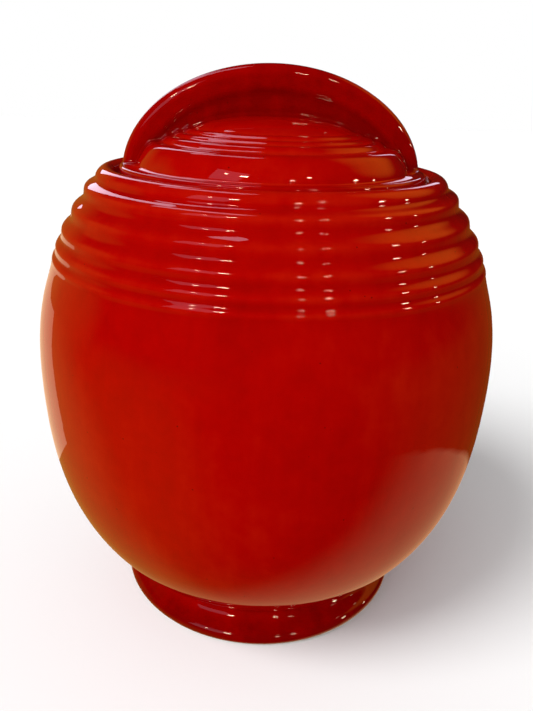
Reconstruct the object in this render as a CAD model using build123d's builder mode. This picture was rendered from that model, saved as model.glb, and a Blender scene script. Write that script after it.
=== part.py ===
"""Lidded stoneware jar: ribbed egg-shaped vessel on a flared foot, domed lid with a fin handle.

Units are millimetres, +Z is up. The origin is the centre of the circle the foot stands on,
and the fin handle runs along X. Profiles are (radius, height) pairs turned about Z.
"""

from build123d import *
import os

os.makedirs("parts", exist_ok=True)

# ---- directions in a profile, as (radius, height) ---------------------------------------
outward = (1.0, 0.0)
inward = (-1.0, 0.0)
up = (0.0, 1.0)
down = (0.0, -1.0)

# ---- heights of the whole jar -----------------------------------------------------------
overall_height = 235.0
rim_height = 195.3
foot_height = 12.5

# ---- vessel -----------------------------------------------------------------------------
neck_radius = 56.6
belly_outer = (
    (neck_radius, foot_height),
    (79.1, 34.3),
    (91.1, 56.9),
    (98.8, 104.0),
    (94.7, 147.2),
    (91.2, 158.3),
)
belly_start = (1.35, 1.0)
belly_finish = (-0.26, 1.0)
# Each raised ring as its crest and the groove above it, narrowing down the shoulder.
shoulder_rings = (
    ((90.9, 160.4), (89.5, 162.5)),
    ((89.2, 165.1), (86.9, 168.2)),
    ((86.3, 171.7), (82.8, 175.5)),
    ((81.6, 179.8), (77.2, 184.0)),
    ((76.2, 188.1), (72.1, 191.3)),
)
groove_finish = (-0.2, 1.0)
bead_side = (70.9, 193.7)
lip_top_radius = 67.6

# ---- mouth: a gallery the lid drops into, with a throat below it ------------------------
gallery_radius = 64.9
gallery_height = 190.0
gallery_corner = 1.2
lip_inner_height = 193.2
throat_radius = 56.5
throat_bottom = 185.6
throat_round = 1.0

# ---- inside of the vessel ---------------------------------------------------------------
inside_floor_height = 19.0
inside_floor_radius = 36.0
inside_shoulder = (59.2, 183.6)
inside_shoulder_slope = (1.0, -0.12)
inside_wall = (
    (75.0, 176.2),
    (83.6, 162.2),
    (88.9, 145.8),
    (92.8, 105.0),
    (85.8, 60.0),
    (75.0, 39.8),
    (61.6, 26.6),
    (inside_floor_radius, inside_floor_height),
)

# ---- foot -------------------------------------------------------------------------------
foot_radius = 66.4
foot_edge_height = 3.2
foot_stand_outer = 63.8
foot_stand_inner = 56.8
foot_cove = (59.2, 8.4)
foot_hollow_radius = 48.0
foot_cove_slope = (0.25, -1.0)
foot_hollow_start = (-1.0, 0.6)
foot_hollow_finish = (-0.3, 1.0)

# ---- lid --------------------------------------------------------------------------------
lid_radius = 62.6
lid_top_height = 195.9
lid_edge_round = 1.4
lid_seat_round = 0.8
flange_inner_radius = 55.6
skirt_outer = 54.6
skirt_inner = 49.4
skirt_bottom = 181.5
skirt_round = 1.6
dome_height = 215.4
cap_flat_radius = 8.0
dome_cap = ((cap_flat_radius, dome_height), (19.0, 214.4), (27.0, 212.7))
# Grooves and crests of the lid's rings, from the cap outwards.
lid_ring_line = (
    (32.8, 210.2),
    (35.0, 209.9),
    (37.1, 208.6),
    (39.1, 208.4),
    (41.0, 207.2),
    (43.2, 207.0),
    (46.0, 204.9),
    (48.9, 204.5),
)
lid_band = ((53.2, 200.6), (flange_inner_radius, lid_top_height))
cap_slope = (1.0, -0.55)
band_slope = (0.25, -1.0)
under_dome = ((48.4, 193.0), (44.0, 200.2), (30.0, 206.6), (0.0, 209.6))

# ---- handle -----------------------------------------------------------------------------
fin_half_length = 61.8
fin_centre_height = 190.6
fin_thickness = 12.0
fin_edge_round = 4.2
fin_border = 9.5
fin_dish_depth = 1.6
fin_dish_rim_round = 0.8
fin_dish_floor_round = 0.7
fin_rise = overall_height - fin_centre_height


def smooth_line(*points, start, finish):
    """Add a smooth curve through the points, leaving and arriving in the given directions."""
    Spline(*points, tangents=(start, finish), tangent_scalars=(1, 1))


def lid_upper_line():
    """The lid's outer line from the middle of the cap to the flange, in the open line block."""
    cap_end = lid_ring_line[0]
    Line((0, dome_height), (cap_flat_radius, dome_height))
    smooth_line(*dome_cap, cap_end, start=outward, finish=cap_slope)
    smooth_line(*lid_ring_line, *lid_band, start=cap_slope, finish=band_slope)


def is_dish_rim(edge):
    """True for the curved edge where a dish breaks out through the handle's face."""
    return abs(edge.center().Y) > fin_thickness / 2 - fin_dish_rim_round / 2


def is_dish_floor(edge):
    """True for the curved edge where a dish's wall meets its floor."""
    return abs(abs(edge.center().Y) - fin_thickness / 2 + fin_dish_depth) < fin_dish_floor_round / 2


# The vessel: one turned wall from the flat it is luted to the foot by, up to the rolled lip,
# down into the gallery and the throat, and back down the inside to the floor.
with BuildPart() as jar_body:
    with BuildSketch(Plane.XZ):
        with BuildLine():
            Line((0, foot_height), (neck_radius, foot_height))
            smooth_line(*belly_outer, start=belly_start, finish=belly_finish)
            wave = [belly_outer[-1]]
            for crest, groove in shoulder_rings:
                wave.append(crest)
                wave.append(groove)
            smooth_line(*wave, start=belly_finish, finish=groove_finish)
            smooth_line(
                wave[-1],
                bead_side,
                (lip_top_radius, rim_height),
                start=groove_finish,
                finish=inward,
            )
            smooth_line(
                (lip_top_radius, rim_height),
                (gallery_radius, lip_inner_height),
                start=inward,
                finish=down,
            )
            FilletPolyline(
                (gallery_radius, lip_inner_height),
                (gallery_radius, gallery_height),
                (throat_radius + throat_round, gallery_height),
                radius=gallery_corner,
            )
            RadiusArc(
                (throat_radius + throat_round, gallery_height),
                (throat_radius, gallery_height - throat_round),
                -throat_round,
            )
            Line((throat_radius, gallery_height - throat_round), (throat_radius, throat_bottom))
            smooth_line(
                (throat_radius, throat_bottom),
                inside_shoulder,
                start=down,
                finish=inside_shoulder_slope,
            )
            smooth_line(inside_shoulder, *inside_wall, start=inside_shoulder_slope, finish=inward)
            Line(inside_wall[-1], (0, inside_floor_height))
            Line((0, inside_floor_height), (0, foot_height))
        make_face()
    revolve(axis=Axis.Z)
jar_body.part.label = "jar_body"


# The foot: a flared ring, hollow underneath, standing on a narrow flat.
with BuildPart() as jar_foot:
    with BuildSketch(Plane.XZ):
        with BuildLine():
            Line((foot_hollow_radius, foot_height), (neck_radius, foot_height))
            smooth_line(
                (neck_radius, foot_height),
                foot_cove,
                (foot_radius, foot_edge_height),
                start=foot_cove_slope,
                finish=down,
            )
            smooth_line(
                (foot_radius, foot_edge_height),
                (foot_stand_outer, 0),
                start=down,
                finish=inward,
            )
            Line((foot_stand_outer, 0), (foot_stand_inner, 0))
            smooth_line(
                (foot_stand_inner, 0),
                (foot_hollow_radius, foot_height),
                start=foot_hollow_start,
                finish=foot_hollow_finish,
            )
        make_face()
    revolve(axis=Axis.Z)
jar_foot.part.label = "jar_foot"


# The lid: a flat flange that rests on the gallery, a steep band, four ringed steps and a low
# cap, hollow underneath, with a skirt that keeps it centred in the throat.
with BuildPart() as lid_shell:
    with BuildSketch(Plane.XZ):
        with BuildLine():
            lid_upper_line()
            Line((flange_inner_radius, lid_top_height), (lid_radius - lid_edge_round, lid_top_height))
            RadiusArc(
                (lid_radius - lid_edge_round, lid_top_height),
                (lid_radius, lid_top_height - lid_edge_round),
                lid_edge_round,
            )
            Line((lid_radius, lid_top_height - lid_edge_round), (lid_radius, gallery_height + lid_seat_round))
            RadiusArc(
                (lid_radius, gallery_height + lid_seat_round),
                (lid_radius - lid_seat_round, gallery_height),
                lid_seat_round,
            )
            Line((lid_radius - lid_seat_round, gallery_height), (skirt_outer, gallery_height))
            FilletPolyline(
                (skirt_outer, gallery_height),
                (skirt_outer, skirt_bottom),
                (skirt_inner, skirt_bottom),
                (skirt_inner, gallery_height),
                radius=skirt_round,
            )
            smooth_line((skirt_inner, gallery_height), *under_dome, start=up, finish=inward)
            Line(under_dome[-1], (0, dome_height))
        make_face()
    revolve(axis=Axis.Z)
lid_shell.part.label = "lid_shell"


# The handle: an upright half-ellipse across the whole lid, its edge rounded and both faces
# dished inside a raised border, its foot cut to the lid's own ringed surface.
with BuildPart() as lid_handle:
    with BuildSketch(Plane.XZ):
        with Locations((0, fin_centre_height)):
            Ellipse(fin_half_length, fin_rise)
        with Locations((0, lid_top_height)):
            Rectangle(
                2 * lid_radius,
                overall_height,
                align=(Align.CENTER, Align.MAX),
                mode=Mode.SUBTRACT,
            )
    extrude(amount=fin_thickness / 2, both=True)
    fillet(lid_handle.edges().filter_by(GeomType.ELLIPSE), radius=fin_edge_round)
    for side in (1, -1):
        face_plane = Plane.XZ.offset(side * fin_thickness / 2)
        with BuildSketch(face_plane):
            with Locations((0, fin_centre_height)):
                Ellipse(fin_half_length - fin_border, fin_rise - fin_border)
            with Locations((0, lid_top_height)):
                Rectangle(
                    2 * lid_radius,
                    overall_height,
                    align=(Align.CENTER, Align.MAX),
                    mode=Mode.SUBTRACT,
                )
        extrude(amount=-side * fin_dish_depth, mode=Mode.SUBTRACT)
    curved_edges = lid_handle.edges().filter_by(GeomType.ELLIPSE)
    fillet(curved_edges.filter_by(is_dish_rim), radius=fin_dish_rim_round)
    curved_edges = lid_handle.edges().filter_by(GeomType.ELLIPSE)
    fillet(curved_edges.filter_by(is_dish_floor), radius=fin_dish_floor_round)
    with BuildSketch(Plane.YZ):
        with BuildLine():
            lid_upper_line()
            Line((flange_inner_radius, lid_top_height), (0, lid_top_height))
            Line((0, lid_top_height), (0, dome_height))
        make_face()
    revolve(axis=Axis.Z, mode=Mode.SUBTRACT)
lid_handle.part.label = "lid_handle"

export_step(jar_body.part, "parts/jar_body.step")
export_step(jar_foot.part, "parts/jar_foot.step")
export_step(lid_shell.part, "parts/lid_shell.step")
export_step(lid_handle.part, "parts/lid_handle.step")
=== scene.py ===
"""Visual model of the lidded jar: glazed vessel, foot, ringed lid and fin handle, round the CAD frame."""

import math

import bpy
import numpy as np
from mathutils import Matrix, Vector, noise


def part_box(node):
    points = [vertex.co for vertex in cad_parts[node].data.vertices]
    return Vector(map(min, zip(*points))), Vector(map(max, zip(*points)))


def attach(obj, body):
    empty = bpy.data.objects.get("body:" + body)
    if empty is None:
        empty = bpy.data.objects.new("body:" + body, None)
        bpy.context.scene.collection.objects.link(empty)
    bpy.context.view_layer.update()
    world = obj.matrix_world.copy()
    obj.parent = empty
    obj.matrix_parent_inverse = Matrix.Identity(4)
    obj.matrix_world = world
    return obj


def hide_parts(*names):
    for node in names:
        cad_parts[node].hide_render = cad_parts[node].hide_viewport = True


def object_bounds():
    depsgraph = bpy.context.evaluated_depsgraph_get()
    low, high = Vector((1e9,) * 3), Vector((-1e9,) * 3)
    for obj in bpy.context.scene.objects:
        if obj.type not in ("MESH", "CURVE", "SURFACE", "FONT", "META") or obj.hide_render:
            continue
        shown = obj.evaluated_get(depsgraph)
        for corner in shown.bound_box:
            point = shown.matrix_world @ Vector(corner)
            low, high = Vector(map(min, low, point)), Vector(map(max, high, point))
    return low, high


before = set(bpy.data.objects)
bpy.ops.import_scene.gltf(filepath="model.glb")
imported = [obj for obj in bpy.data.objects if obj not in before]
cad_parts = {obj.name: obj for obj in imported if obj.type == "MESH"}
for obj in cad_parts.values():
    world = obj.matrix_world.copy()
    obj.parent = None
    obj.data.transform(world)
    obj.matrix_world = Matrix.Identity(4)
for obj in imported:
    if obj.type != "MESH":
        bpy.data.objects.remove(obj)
cad_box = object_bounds()

MM = 0.001

# ---- directions in a profile, as (radius, height) ----------------------------------------
outward = (1.0, 0.0)
inward = (-1.0, 0.0)
up = (0.0, 1.0)
down = (0.0, -1.0)

# ---- the jar's own dimensions, in millimetres, read from the frame where it has them -----
_, vessel_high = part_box("jar_body")
_, foot_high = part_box("jar_foot")
lid_low, lid_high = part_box("lid_shell")
fin_low, fin_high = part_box("lid_handle")

rim_height = vessel_high.z / MM
foot_height = foot_high.z / MM
foot_radius = foot_high.x / MM
lid_radius = lid_high.x / MM
dome_height = lid_high.z / MM
skirt_bottom = lid_low.z / MM
lid_top_height = fin_low.z / MM
fin_thickness = (fin_high.y - fin_low.y) / MM
overall_height = fin_high.z / MM

neck_radius = 56.6
belly_outer = (
    (neck_radius, foot_height),
    (79.1, 34.3),
    (91.1, 56.9),
    (98.8, 104.0),
    (94.7, 147.2),
    (91.2, 158.3),
)
belly_start = (1.35, 1.0)
belly_finish = (-0.26, 1.0)
shoulder_rings = (
    ((90.9, 160.4), (89.5, 162.5)),
    ((89.2, 165.1), (86.9, 168.2)),
    ((86.3, 171.7), (82.8, 175.5)),
    ((81.6, 179.8), (77.2, 184.0)),
    ((76.2, 188.1), (72.1, 191.3)),
)
groove_finish = (-0.2, 1.0)
bead_side = (70.9, 193.7)
lip_top_radius = 67.6
gallery_radius = 64.9
gallery_height = 190.0
gallery_corner = 1.2
lip_inner_height = 193.2
throat_radius = 56.5
throat_bottom = 185.6
throat_round = 1.0
inside_floor_height = 19.0
inside_floor_radius = 36.0
inside_shoulder = (59.2, 183.6)
inside_shoulder_slope = (1.0, -0.12)
inside_wall = (
    inside_shoulder,
    (75.0, 176.2),
    (83.6, 162.2),
    (88.9, 145.8),
    (92.8, 105.0),
    (85.8, 60.0),
    (75.0, 39.8),
    (61.6, 26.6),
    (inside_floor_radius, inside_floor_height),
)
foot_edge_height = 3.2
foot_stand_outer = 63.8
foot_stand_inner = 56.8
foot_cove = (59.2, 8.4)
foot_hollow_radius = 48.0
foot_cove_slope = (0.25, -1.0)
foot_hollow_start = (-1.0, 0.6)
foot_hollow_finish = (-0.3, 1.0)
flange_inner_radius = 55.6
lid_edge_round = 1.4
lid_seat_round = 0.8
skirt_root_round = 0.3
skirt_round = 1.6
skirt_outer = 54.6
skirt_inner = 49.4
cap_flat_radius = 8.0
dome_cap = ((cap_flat_radius, dome_height), (19.0, dome_height - 1.0), (27.0, dome_height - 2.7))
lid_ring_line = (
    (32.8, 210.2),
    (35.0, 209.9),
    (37.1, 208.6),
    (39.1, 208.4),
    (41.0, 207.2),
    (43.2, 207.0),
    (46.0, 204.9),
    (48.9, 204.5),
)
lid_band = ((53.2, 200.6), (flange_inner_radius, lid_top_height))
cap_slope = (1.0, -0.55)
band_slope = (0.25, -1.0)
under_dome = ((48.4, 193.0), (44.0, 200.2), (30.0, 206.6), (0.0, 209.6))
fin_half_length = 61.8
fin_centre_height = 190.6
fin_rise = overall_height - fin_centre_height
fin_edge_round = 4.2
fin_border = 9.5
fin_dish_depth = 1.6
fin_dish_slope = 5.0
fin_fillet = 1.8
fin_columns = 320
fin_rows = 72
# how far the fin reaches down into the lid, so that no gap shows under it
fin_sink = 0.2
# a low ridge that follows the dish's rim, inside it
fin_ridge_inset = 15.0
fin_ridge_height = 0.3
fin_ridge_width = 1.7

# how far a bend spreads through the glaze, and how strongly it moves it
glaze_reach = 1.1
glaze_bend = 2.4
# how the glaze gathers on the fin: less on the edge, the dish's rim and the ridge, more along the
# foot; the red is also made deeper all over the dish
fin_edge_thin = 0.5
dish_rim_thin = 0.3
ridge_thin = 0.2
dish_deepening = 0.8
fin_foot_thick = 0.9
# where the glaze is wiped off, in millimetres: past each side of the standing flat and up from
# it, and on the lid's seat, in from the skirt, below the flange's top and down the skirt
stand_wipe_inner = 2.5
stand_wipe_outer = 1.5
stand_wipe_level = 0.1
stand_wipe_fade = 1.4
seat_wipe_in = 0.6
seat_wipe_below_top = 1.5
seat_wipe_down = 2.5
seat_wipe_fade = 1.6
# how far the hand-finished surface wanders
wobble_span = 38.0
wobble_depth = 0.14


# ---- curves ----------------------------------------------------------------------------
def smooth_line(points, start=None, finish=None, step=0.5):
    """Points about `step` apart on the smooth curve through `points`, with unit end directions."""
    p = np.array(points, float)
    n = len(p)
    span = np.hypot(*np.diff(p, axis=0).T)
    t = np.r_[0, np.cumsum(span)]
    a = np.zeros((n, n))
    b = np.zeros((n, 2))
    for i in range(1, n - 1):
        a[i, i - 1] = span[i]
        a[i, i] = 2 * (span[i - 1] + span[i])
        a[i, i + 1] = span[i - 1]
        before = (p[i] - p[i - 1]) / span[i - 1]
        after = (p[i + 1] - p[i]) / span[i]
        b[i] = 3 * (span[i] * before + span[i - 1] * after)
    for row, ends in ((0, start), (n - 1, finish)):
        a[row, row] = 1
        b[row] = np.array(ends) / np.hypot(*ends)
    slope = np.linalg.solve(a, b)
    line = []
    for i in range(n - 1):
        count = max(2, math.ceil(span[i] / step))
        for s in np.arange(count) / count:
            h = span[i]
            h00, h10 = 2 * s**3 - 3 * s**2 + 1, s**3 - 2 * s**2 + s
            h01, h11 = -2 * s**3 + 3 * s**2, s**3 - s**2
            line.append(h00 * p[i] + h10 * h * slope[i] + h01 * p[i + 1] + h11 * h * slope[i + 1])
    line.append(p[-1])
    return np.array(line)


def straight(start, finish, step=2.0):
    """Points about `step` apart from start to finish."""
    count = max(1, math.ceil(math.dist(start, finish) / step))
    s = np.linspace(0, 1, count + 1)[:, None]
    return (1 - s) * np.array(start) + s * np.array(finish)


def rounded(corners, radii, step=0.3):
    """A polyline whose inner corners are rounded with those radii."""
    p = [np.array(c, float) for c in corners]
    line = [p[0]]
    for before, corner, after, radius in zip(p, p[1:], p[2:], radii):
        u = (before - corner) / np.linalg.norm(before - corner)
        v = (after - corner) / np.linalg.norm(after - corner)
        half = math.acos(np.clip(u @ v, -1, 1)) / 2
        centre = corner + (u + v) / np.linalg.norm(u + v) * radius / math.sin(half)
        a = corner + u * radius / math.tan(half) - centre
        b = corner + v * radius / math.tan(half) - centre
        turn = math.pi - 2 * half
        count = max(4, math.ceil(turn * radius / step))
        for s in np.linspace(0, 1, count + 1):
            line.append(centre + (math.sin((1 - s) * turn) * a + math.sin(s * turn) * b) / math.sin(turn))
    line.append(p[-1])
    return np.array(line)


def joined(*lines):
    """One line from several that follow on, with doubled points taken out."""
    p = np.concatenate(lines)
    keep = np.r_[True, np.hypot(*np.diff(p, axis=0).T) > 1e-6]
    return p[keep]


def vessel_profile():
    """The vessel's closed section, from the middle of its underside round to its inside floor."""
    wave = [belly_outer[-1]]
    for crest, groove in shoulder_rings:
        wave += [crest, groove]
    throat_top = (throat_radius, gallery_height)
    lip_top = (lip_top_radius, rim_height)
    return joined(
        straight((0, foot_height), (neck_radius, foot_height), 6),
        smooth_line(belly_outer, belly_start, belly_finish, 2.2),
        smooth_line(wave, belly_finish, groove_finish, 0.35),
        smooth_line([wave[-1], bead_side, lip_top], groove_finish, inward, 0.3),
        smooth_line([lip_top, (gallery_radius, lip_inner_height)], inward, down, 0.3),
        rounded(
            [(gallery_radius, lip_inner_height), (gallery_radius, gallery_height), throat_top,
             (throat_radius, throat_bottom)],
            [gallery_corner, throat_round],
        ),
        smooth_line([(throat_radius, throat_bottom), inside_shoulder], down, inside_shoulder_slope),
        smooth_line(inside_wall, inside_shoulder_slope, inward, 3.5),
        straight((inside_floor_radius, inside_floor_height), (0, inside_floor_height), 6),
    )


def foot_profile():
    """The foot ring's closed section, starting and ending where it meets the vessel inside."""
    return joined(
        straight((foot_hollow_radius, foot_height), (neck_radius, foot_height)),
        smooth_line(
            [(neck_radius, foot_height), foot_cove, (foot_radius, foot_edge_height)],
            foot_cove_slope, down, 0.4,
        ),
        smooth_line(
            [(foot_radius, foot_edge_height), (foot_stand_outer, 0)], down, inward, 0.3,
        ),
        straight((foot_stand_outer, 0), (foot_stand_inner, 0), 0.8),
        smooth_line(
            [(foot_stand_inner, 0), (foot_hollow_radius, foot_height)],
            foot_hollow_start, foot_hollow_finish, 0.8,
        )[:-1],
    )


def lid_top_line():
    """The lid's top from the middle of the cap to the flange's inner corner."""
    return joined(
        straight((0, dome_height), dome_cap[0], 2),
        smooth_line([*dome_cap, lid_ring_line[0]], outward, cap_slope, 1.0),
        smooth_line([*lid_ring_line, *lid_band], cap_slope, band_slope, 0.3),
    )


def lid_profile():
    """The lid's closed section, from the middle of its top round to the middle underneath."""
    edge = (lid_radius, lid_top_height)
    seat = (lid_radius, gallery_height)
    return joined(
        lid_top_line(),
        rounded(
            [(flange_inner_radius, lid_top_height), edge, seat, (skirt_outer, gallery_height),
             (skirt_outer, skirt_bottom), (skirt_inner, skirt_bottom), (skirt_inner, gallery_height)],
            [lid_edge_round, lid_seat_round, skirt_root_round, skirt_round, skirt_round],
        ),
        smooth_line([(skirt_inner, gallery_height), *under_dome], up, inward, 1.5),
    )


# ---- meshes ----------------------------------------------------------------------------
def add_mesh(name, points, faces, pool, bare):
    """A smooth-shaded object from points in millimetres, with two values at each of them.

    pool is how thick the glaze lies, from -1 on a sharp edge to 1 in a groove. bare is 1 where
    the clay is left unglazed, and falls through 0.5 at the glaze line.
    """
    mesh = bpy.data.meshes.new(name)
    mesh.from_pydata([tuple(p) for p in np.asarray(points) * MM], [], faces)
    for label, values in (("pool", pool), ("bare", bare)):
        layer = mesh.attributes.new(label, "FLOAT", "POINT")
        layer.data.foreach_set("value", np.asarray(values, np.float32))
    mesh.validate()
    mesh.update()
    mesh.shade_smooth()
    piece = bpy.data.objects.new(name, mesh)
    bpy.context.scene.collection.objects.link(piece)
    return piece


def glaze_pool(profile, closed):
    """How thick the glaze lies along a profile: it runs off outer curves and fills inner ones."""
    before, after = np.roll(profile, 1, axis=0), np.roll(profile, -1, axis=0)
    a, b = profile - before, after - profile
    turn = np.arctan2(a[:, 0] * b[:, 1] - a[:, 1] * b[:, 0], (a * b).sum(axis=1))
    length = (np.hypot(*a.T) + np.hypot(*b.T)) / 2
    if not closed:
        turn[[0, -1]] = 0
    # the bend is shared out over a stretch, because glaze is too thick to follow a sharp corner
    along = np.cumsum(length)
    pool = np.zeros(len(profile))
    for i, place in enumerate(along):
        near = np.exp(-((along - place) / glaze_reach) ** 2)
        pool[i] = (near * -turn).sum() / (glaze_reach * math.sqrt(math.pi))
    return np.clip(pool * glaze_bend, -1, 1)


def wobble(x, y, z):
    """How far a hand-finished surface lies inside the true one, in millimetres."""
    place = Vector((x, y, z)) / wobble_span
    return wobble_depth * (0.5 + 0.5 * noise.noise(place))


def turned(name, profile, bare, closed, segments=288):
    """The solid of revolution of a profile about Z. A profile that isn't closed ends on the axis."""
    pools = glaze_pool(profile, closed)
    angles = np.linspace(0, 2 * math.pi, segments, endpoint=False)
    points, rows, pool, clay = [], [], [], []
    for (r, z), thick, dry in zip(profile, pools, bare):
        around = angles if r > 1e-6 else angles[:1]
        rows.append([len(points) + i % len(around) for i in range(segments)])
        for angle in around:
            x, y = math.cos(angle), math.sin(angle)
            inner = r - min(wobble(r * x, r * y, z), r)
            points.append((inner * x, inner * y, z))
        pool += [thick] * len(around)
        clay += [dry] * len(around)
    faces = []
    pairs = list(zip(rows, rows[1:]))
    if closed:
        pairs.append((rows[-1], rows[0]))
    for low, high in pairs:
        for i in range(segments):
            j = (i + 1) % segments
            face = [low[i], low[j], high[j], high[i]]
            faces.append([v for k, v in enumerate(face) if v not in face[:k]])
    return add_mesh(name, points, faces, pool, clay)


vessel_line = vessel_profile()
vessel = turned("jar_glazed_body", vessel_line, np.zeros(len(vessel_line)), closed=False)

# The foot is wiped clean of glaze on the flat it stands on, up to just round its two corners.
foot_line = foot_profile()
foot_r, foot_z = foot_line.T
on_stand = (foot_stand_inner - stand_wipe_inner < foot_r) & (foot_r < foot_stand_outer + stand_wipe_outer)
foot_bare = np.where(on_stand, np.clip(1 - (foot_z - stand_wipe_level) / stand_wipe_fade, 0, 1), 0)
foot = turned("jar_glazed_foot", foot_line, foot_bare, closed=True)

# The lid is wiped where it sits on the gallery, from its lower edge in to the skirt.
lid_line = lid_profile()
lid_r, lid_z = lid_line.T
under_flange = (lid_r > skirt_outer - seat_wipe_in) & (lid_z < lid_top_height - seat_wipe_below_top)
lid_bare = np.where(
    under_flange,
    np.clip(1 - (lid_z - gallery_height) / seat_wipe_fade, 0, 1)
    * np.clip((lid_z - gallery_height + seat_wipe_down) / seat_wipe_fade, 0, 1),
    0,
)
lid = turned("lid_glazed_shell", lid_line, lid_bare, closed=False)


def lid_height(r, line=lid_top_line()):
    """The height of the lid's top at that radius."""
    return np.interp(r, line[:, 0], line[:, 1])


def fin_face(x, z):
    """Half the fin's thickness at a point of its face, and how thick the glaze lies there, with the red made
    deeper over the dish.
    """
    level = np.hypot(x / fin_half_length, (z - fin_centre_height) / fin_rise)
    steep = np.hypot(x / fin_half_length**2, (z - fin_centre_height) / fin_rise**2) / level
    d = np.clip((1 - level) / steep, 0, None)
    half = fin_thickness / 2
    inset = np.clip(fin_edge_round - d, 0, None)
    width = half - fin_edge_round + np.sqrt(np.clip(fin_edge_round**2 - inset**2, 0, None))
    s = np.clip((d - fin_border + fin_dish_slope / 2) / fin_dish_slope, 0, 1)
    width -= fin_dish_depth * s * s * (3 - 2 * s)
    ridge = np.exp(-((d - fin_ridge_inset) / fin_ridge_width) ** 2)
    width += fin_ridge_height * ridge
    edge = -fin_edge_thin * np.clip(inset / fin_edge_round, 0, 1)
    dish = dish_deepening * s - dish_rim_thin * np.sin(2 * math.pi * s) - ridge_thin * ridge
    return width, edge + dish


def fin():
    """The fin handle as columns across the lid, each from the lid up one face and down the other."""
    low = math.asin((lid_top_height - fin_centre_height) / fin_rise)
    points, faces, pool = [], [], []
    for t in np.linspace(low, math.pi - low, fin_columns):
        x = fin_half_length * math.cos(t)
        top = fin_centre_height + fin_rise * math.sin(t)
        base = lid_height(abs(x))
        tall = max(top - base, 0.02)
        fillet = min(fin_fillet, 0.5 * tall)
        s = np.linspace(0, 1, fin_rows)
        s = 0.5 * s + 0.5 * (1 - np.cos(math.pi * s)) / 2
        rise = -fin_sink * (1 - s) ** 8 + tall * s
        above = np.clip(rise, 0, None)
        width, thick = fin_face(x, base + above)
        flare = np.clip(fillet - above, 0, None)
        width = width + fillet - np.sqrt(np.clip(fillet**2 - flare**2, 0, None))
        drop = (base - lid_height(np.hypot(x, width))) * (1 - s)
        height = base + rise - drop
        thick = thick + fin_foot_thick * np.exp(-above / fin_fillet)
        points += [(x, -w, z) for w, z in zip(width, height)]
        points += [(x, w, z) for w, z in zip(width[::-1], height[::-1])]
        pool += list(thick) + list(thick[::-1])
    ring = 2 * fin_rows
    for c in range(fin_columns - 1):
        for k in range(ring):
            a, b = c * ring + k, c * ring + (k + 1) % ring
            faces.append([a, b, b + ring, a + ring])
    faces.append(list(range(ring))[::-1])
    faces.append([(fin_columns - 1) * ring + k for k in range(ring)])
    return add_mesh("lid_glazed_handle", points, faces, np.clip(pool, -1, 1), np.zeros(len(points)))


handle = fin()


# ---- glaze -----------------------------------------------------------------------------
def add_node(tree, kind, inputs, **settings):
    """A shader node with its settings made, and each input set or linked."""
    node = tree.nodes.new(kind)
    for name, value in settings.items():
        setattr(node, name, value)
    for socket, value in inputs.items():
        if isinstance(value, bpy.types.NodeSocket):
            tree.links.new(value, node.inputs[socket])
        else:
            node.inputs[socket].default_value = value
    return node


def value_math(tree, operation, a, b=0.0):
    return add_node(tree, "ShaderNodeMath", {0: a, 1: b}, operation=operation).outputs[0]


def spread(tree, value, low, high, to_low=0.0, to_high=1.0):
    """The value taken from low..high to to_low..to_high, and held at both ends."""
    inputs = {"Value": value, "From Min": low, "From Max": high, "To Min": to_low, "To Max": to_high}
    return add_node(tree, "ShaderNodeMapRange", inputs, clamp=True).outputs["Result"]


def noise_value(tree, place, scale, detail=2.0, rough=0.5, distortion=0.0):
    inputs = {
        "Vector": place, "Scale": scale, "Detail": detail, "Roughness": rough, "Distortion": distortion,
    }
    return add_node(tree, "ShaderNodeTexNoise", inputs).outputs["Fac"]


def stretched(tree, place, scale):
    inputs = {"Vector": place, "Scale": scale}
    return add_node(tree, "ShaderNodeMapping", inputs).outputs["Vector"]


def mixed_colour(tree, factor, a, b):
    inputs = {"Factor": factor, 6: a, 7: b}
    return add_node(tree, "ShaderNodeMix", inputs, data_type="RGBA").outputs[2]


def total(tree, *values):
    result = values[0]
    for value in values[1:]:
        result = value_math(tree, "ADD", result, value)
    return result


def dots(tree, place, scale, share, size):
    """1 inside scattered round dots. share is how many cells hold one, size its radius in cells."""
    cells = add_node(tree, "ShaderNodeTexVoronoi", {"Vector": place, "Scale": scale})
    chosen = add_node(tree, "ShaderNodeSeparateColor", {"Color": cells.outputs["Color"]})
    inside = spread(tree, cells.outputs["Distance"], size, size * 0.6)
    return value_math(tree, "MULTIPLY", inside, spread(tree, chosen.outputs[0], 1 - share, 1.001 - share))


# The glaze from where it lies thinnest to where it lies thickest, as (place on the ramp, colour).
glaze_stops = (
    (0.0, (0.74, 0.036, 0.004, 1)),
    (0.22, (0.68, 0.010, 0.001, 1)),
    (0.5, (0.57, 0.0008, 0.0002, 1)),
    (0.78, (0.43, 0.0004, 0.0002, 1)),
    (1.0, (0.26, 0.0003, 0.0002, 1)),
)
speck_colour = (0.16, 0.003, 0.001, 1)
clay_dark = (0.44, 0.30, 0.19, 1)
clay_light = (0.66, 0.50, 0.35, 1)
clay_grit = (0.16, 0.08, 0.04, 1)
clay_toasted = (0.28, 0.07, 0.02, 1)
clay_roughness = 0.86
glaze_ior = 1.5


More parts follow.
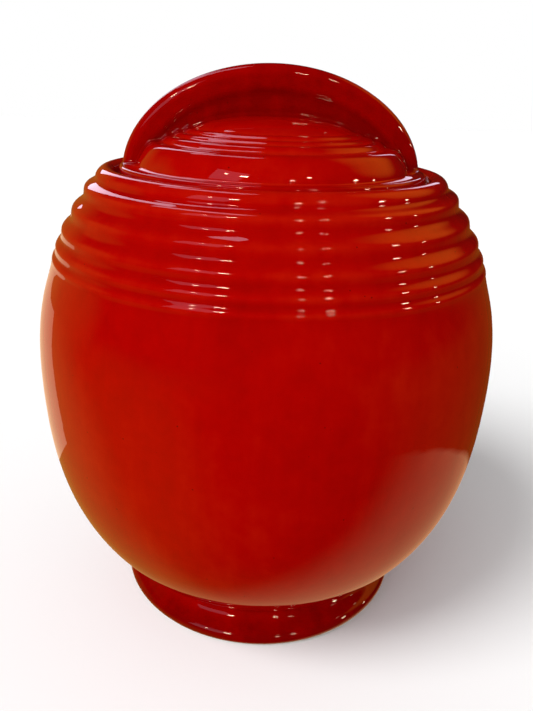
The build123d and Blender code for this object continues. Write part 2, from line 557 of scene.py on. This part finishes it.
def glaze_material(name, turning, extra):
    """Deep orange-red gloss glaze over buff clay.

    turning is the height of the turning lines in mm, and extra is how much deeper the red is made all over;
    on the foot this is painted shade.
    """
    material = bpy.data.materials.new(name)
    material.use_nodes = True
    tree = material.node_tree
    shader = tree.nodes["Principled BSDF"]
    place = add_node(tree, "ShaderNodeTexCoord", {}).outputs["Object"]
    pool = add_node(tree, "ShaderNodeAttribute", {}, attribute_name="pool").outputs["Fac"]
    bare = add_node(tree, "ShaderNodeAttribute", {}, attribute_name="bare").outputs["Fac"]

    # how thick the glaze is: what the shape does to it, slow clouds, fine mottling and runs
    clouds = spread(tree, noise_value(tree, place, 13, 3), 0.25, 0.75, -0.2, 0.2)
    mottle = spread(tree, noise_value(tree, place, 140, 4, 0.65), 0.25, 0.75, -0.16, 0.16)
    runs = noise_value(tree, stretched(tree, place, (95, 95, 9)), 1, 3, 0.6)
    runs = spread(tree, runs, 0.3, 0.7, -0.13, 0.13)
    depth = total(tree, value_math(tree, "MULTIPLY", pool, 0.32), clouds, mottle, runs)
    # extra deepens the red all over the piece; on the foot it is painted shade under the belly's overhang
    depth = value_math(tree, "ADD", depth, extra)
    ramp = add_node(tree, "ShaderNodeValToRGB", {"Fac": spread(tree, depth, -1, 1)})
    # a new ramp has two stops already
    for at, _ in glaze_stops[2:]:
        ramp.color_ramp.elements.new(at)
    for element, (at, colour) in zip(ramp.color_ramp.elements, glaze_stops):
        element.position = at
        element.color = colour
    specks = dots(tree, place, 420, 0.03, 0.14)
    glaze_colour = mixed_colour(tree, specks, ramp.outputs["Color"], speck_colour)

    # bare clay, with a toasted line where the glaze stops
    ragged = spread(tree, noise_value(tree, place, 420, 3), 0.3, 0.7, -0.22, 0.22)
    edge = value_math(tree, "ADD", bare, ragged)
    clay_mask = spread(tree, edge, 0.47, 0.53)
    toasted = spread(tree, edge, 0.50, 0.72)
    grain = noise_value(tree, place, 1500, 3, 0.7)
    clay = mixed_colour(tree, grain, clay_dark, clay_light)
    clay = mixed_colour(tree, dots(tree, place, 900, 0.12, 0.3), clay, clay_grit)
    clay = mixed_colour(tree, toasted, clay_toasted, clay)
    colour = mixed_colour(tree, clay_mask, glaze_colour, clay)
    tree.links.new(colour, shader.inputs["Base Color"])

    # gloss, dulled by handling on the edges and by faint smears
    smears = noise_value(tree, place, 22, 6, 0.62, 0.9)
    smears = spread(tree, smears, 0.52, 0.80, 0.0, 0.03)
    worn = spread(tree, pool, -0.35, -1.0, 0.0, 0.02)
    gloss = total(tree, smears, worn, spread(tree, mottle, -0.16, 0.16, 0.010, 0.020))
    rough = add_node(tree, "ShaderNodeMix", {"Factor": clay_mask, 2: gloss, 3: clay_roughness}).outputs[0]
    tree.links.new(rough, shader.inputs["Roughness"])
    shader.inputs["IOR"].default_value = glaze_ior

    # the surface, in millimetres: slow waves in the glaze, orange peel, turning lines, pinholes
    waves = value_math(tree, "MULTIPLY", noise_value(tree, place, 34, 1), 0.16)
    ripple = value_math(tree, "MULTIPLY", noise_value(tree, place, 85, 1), 0.055)
    peel = value_math(tree, "MULTIPLY", noise_value(tree, place, 520, 2), 0.0042)
    lines = noise_value(tree, stretched(tree, place, (4, 4, 620)), 1, 2)
    lines = value_math(tree, "MULTIPLY", lines, turning)
    holes = value_math(tree, "MULTIPLY", dots(tree, place, 210, 0.03, 0.10), -0.05)
    glaze_height = total(tree, waves, ripple, peel, lines, holes)
    clay_height = value_math(tree, "MULTIPLY", grain, 0.06)
    heights = add_node(tree, "ShaderNodeMix", {"Factor": clay_mask, 2: glaze_height, 3: clay_height})
    bump = add_node(
        tree, "ShaderNodeBump", {"Height": heights.outputs[0], "Distance": MM, "Strength": 1.0},
    )
    tree.links.new(bump.outputs["Normal"], shader.inputs["Normal"])
    return material


turned_glaze = glaze_material("glaze_red_turned", turning=0.006, extra=0.0)
# painted shade: the foot's red is made deeper all over, standing for the shade under the belly's overhang
foot_glaze_painted_shade = glaze_material("glaze_red_foot_painted_shade", turning=0.006, extra=0.7)
# the handle's red is made deeper all over
cast_glaze = glaze_material("glaze_red_cast", turning=0.0, extra=0.7)
for piece, body, node, finish in (
    (vessel, "jar", "jar_body", turned_glaze),
    (foot, "jar", "jar_foot", foot_glaze_painted_shade),
    (lid, "lid", "lid_shell", turned_glaze),
    (handle, "lid", "lid_handle", cast_glaze),
):
    piece.data.materials.append(finish)
    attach(piece, body)
    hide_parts(node)


# ---- floor, camera and light -------------------------------------------------------------
floor_size = 8.0
bpy.ops.mesh.primitive_plane_add(size=floor_size)
floor = bpy.context.object
floor.name = "floor"
paper = bpy.data.materials.new("floor_paper")
paper.use_nodes = True
paper_inputs = paper.node_tree.nodes["Principled BSDF"].inputs
paper_inputs["Base Color"].default_value = (0.9, 0.9, 0.9, 1)
paper_inputs["Roughness"].default_value = 0.8
paper_inputs["Specular IOR Level"].default_value = 0.0
paper_inputs["Emission Color"].default_value = (1, 1, 1, 1)
paper_inputs["Emission Strength"].default_value = 0.02
floor.data.materials.append(paper)
floor.visible_glossy = False
floor.visible_diffuse = False

camera_distance = 0.2855
camera_height = 0.2271
camera_azimuth = math.radians(-4.76)
camera_pitch = math.radians(22.24)
camera_roll = math.radians(2.08)
camera_yaw = math.radians(0.08)
focal_pixels = 662.5
image_long_side = 711

camera_data = bpy.data.cameras.new("camera")
camera_data.sensor_width = 36.0
camera_data.lens = focal_pixels * camera_data.sensor_width / image_long_side
camera = bpy.data.objects.new("camera", camera_data)
bpy.context.scene.collection.objects.link(camera)
heading = camera_yaw - camera_azimuth
ahead = Vector((math.sin(heading), math.cos(heading), 0))
side = Vector((math.cos(heading), -math.sin(heading), 0))
below = Vector((0, 0, -1))
forward = ahead * math.cos(camera_pitch) + below * math.sin(camera_pitch)
upward = ahead * math.sin(camera_pitch) - below * math.cos(camera_pitch)
image_x = side * math.cos(camera_roll) + upward * math.sin(camera_roll)
image_y = upward * math.cos(camera_roll) - side * math.sin(camera_roll)
camera.matrix_world = Matrix((image_x, image_y, -forward)).transposed().to_4x4()
camera.location = (
    camera_distance * math.sin(camera_azimuth),
    -camera_distance * math.cos(camera_azimuth),
    camera_height,
)
bpy.context.scene.camera = camera


jar_middle = cad_box[1][2] / 2
sun_distance = 2.0
box_distance = 1.6
white = (1.0, 1.0, 1.0)
warm = (1.0, 0.78, 0.5)
lilac = (0.86, 0.78, 1.0)
peach = (1.0, 0.80, 0.60)


def towards(azimuth, elevation):
    """The direction from the jar to a light. Azimuth 0 is in front of it, and 90 on its right."""
    a, e = math.radians(azimuth), math.radians(elevation)
    return Vector((math.sin(a) * math.cos(e), -math.cos(a) * math.cos(e), math.sin(e)))


def add_light(name, light, out, distance, colour):
    """The light, placed that far from the middle of the jar and turned to face it."""
    light.color = colour
    lamp = bpy.data.objects.new(name, light)
    lamp.location = Vector((0, 0, jar_middle)) + out * distance
    lamp.rotation_mode = "QUATERNION"
    lamp.rotation_quaternion = out.to_track_quat("Z", "Y")
    bpy.context.scene.collection.objects.link(lamp)
    return lamp


def soft_sun(name, azimuth, elevation, spread_angle, strength):
    """Even soft light from one side that the glaze doesn't mirror."""
    light = bpy.data.lights.new(name, "SUN")
    light.angle = math.radians(spread_angle)
    light.energy = strength
    lamp = add_light(name, light, towards(azimuth, elevation), sun_distance, white)
    lamp.visible_glossy = False
    return lamp


def soft_box(name, azimuth, elevation, width, height, brightness, colour):
    """A soft box that the glaze mirrors, as bright as given. Its width and height are in degrees."""
    light = bpy.data.lights.new(name, "AREA")
    light.shape = "RECTANGLE"
    light.size = 2 * box_distance * math.tan(math.radians(width) / 2)
    light.size_y = 2 * box_distance * math.tan(math.radians(height) / 2)
    light.energy = brightness * math.pi * light.size * light.size_y
    lamp = add_light(name, light, towards(azimuth, elevation), box_distance, colour)
    lamp.visible_diffuse = False


soft_sun("key", -40, 22, 60, 1.6)
# a second sun that reaches only the floor
floor_light = soft_sun("floor_light", -62, 50, 26, 2.15)
only_floor = bpy.data.collections.new("only_floor")
only_floor.objects.link(floor)
floor_light.light_linking.receiver_collection = only_floor

# Each as name, azimuth, elevation, width and height in degrees, brightness and colour.
for settings in (
    ("window", -46, 40, 24, 26, 0.75, lilac),
    ("skylight", -136, 66, 9, 32, 2.6, lilac),
    ("doorway", -143, -20, 34, 26, 0.62, peach),
    ("doorway_top", -155, 32, 10, 40, 2.8, lilac),
    ("right_window", 152, 22, 8, 14, 2.2, lilac),
    ("lamp_0", -31, 45, 4.6, 2.6, 90, warm),
    ("lamp_1", -50, 47, 2.4, 1.5, 80, warm),
    ("lamp_2", 13, 37, 3.4, 1.5, 80, warm),
    ("lamp_3", 31, 46, 3.6, 1.5, 80, warm),
    ("lamp_4", 70, 28, 3.6, 2.4, 70, warm),
    ("lamp_5", 88, 20, 2.4, 1.6, 60, warm),
):
    soft_box(*settings)


# ---- surroundings: white for the camera, soft light, and a dim warm room in the glaze ----
world = bpy.data.worlds.new("studio")
bpy.context.scene.world = world
world.use_nodes = True
sky = world.node_tree
surface = sky.nodes["Background"]
path = add_node(sky, "ShaderNodeLightPath", {})
way = add_node(sky, "ShaderNodeTexCoord", {}).outputs["Generated"]
way_up = add_node(sky, "ShaderNodeSeparateXYZ", {"Vector": way}).outputs["Z"]


def patch(azimuth, elevation, inner, outer):
    """1 within `inner` degrees of that direction, fading to 0 at `outer` degrees."""
    facing = add_node(
        sky, "ShaderNodeVectorMath", {0: way, 1: towards(azimuth, elevation)}, operation="DOT_PRODUCT",
    ).outputs["Value"]
    edges = {
        "Value": facing, "From Min": math.cos(math.radians(outer)), "From Max": math.cos(math.radians(inner)),
    }
    return add_node(
        sky, "ShaderNodeMapRange", edges, clamp=True, interpolation_type="SMOOTHSTEP",
    ).outputs["Result"]


room_above = (0.016, 0.007, 0.004, 1)
room_below = (0.24, 0.055, 0.006, 1)
mirrored = mixed_colour(sky, spread(sky, way_up, 0.04, -0.10), room_above, room_below)
# Each as azimuth, elevation, inner and outer angle in degrees, and colour, laid over the last.
for azimuth, elevation, inner, outer, colour in (
    (8, -32, 26, 60, (0.05, 0.004, 0.001, 1)),
    (-112, 10, 6, 26, (0.34, 0.15, 0.02, 1)),
    (-72, -35, 8, 40, (0.40, 0.10, 0.006, 1)),
    (-148, 0, 8, 30, (0.40, 0.13, 0.015, 1)),
    (-135, -38, 14, 46, (0.50, 0.24, 0.04, 1)),
    (114, 38, 4, 27, (1.30, 0.34, 0.03, 1)),
):
    mirrored = mixed_colour(sky, patch(azimuth, elevation, inner, outer), mirrored, colour)
# a tan patch low on the right, cut off level along its top
patch_top = spread(sky, way_up, -0.50, -0.515)
tan_patch = value_math(sky, "MULTIPLY", patch(128, -44, 22, 56), patch_top)
mirrored = mixed_colour(sky, tan_patch, mirrored, (0.74, 0.36, 0.17, 1))
light_below = (0.25, 0.25, 0.25, 1)
light_above = (0.42, 0.42, 0.42, 1)
ambient = mixed_colour(sky, spread(sky, way_up, -0.5, 0.5), light_below, light_above)
soft = mixed_colour(sky, path.outputs["Is Glossy Ray"], ambient, mirrored)
shown = mixed_colour(sky, path.outputs["Is Camera Ray"], soft, (1.0, 1.0, 1.0, 1))
sky.links.new(shown, surface.inputs["Color"])
bpy.context.scene.view_settings.view_transform = "Standard"
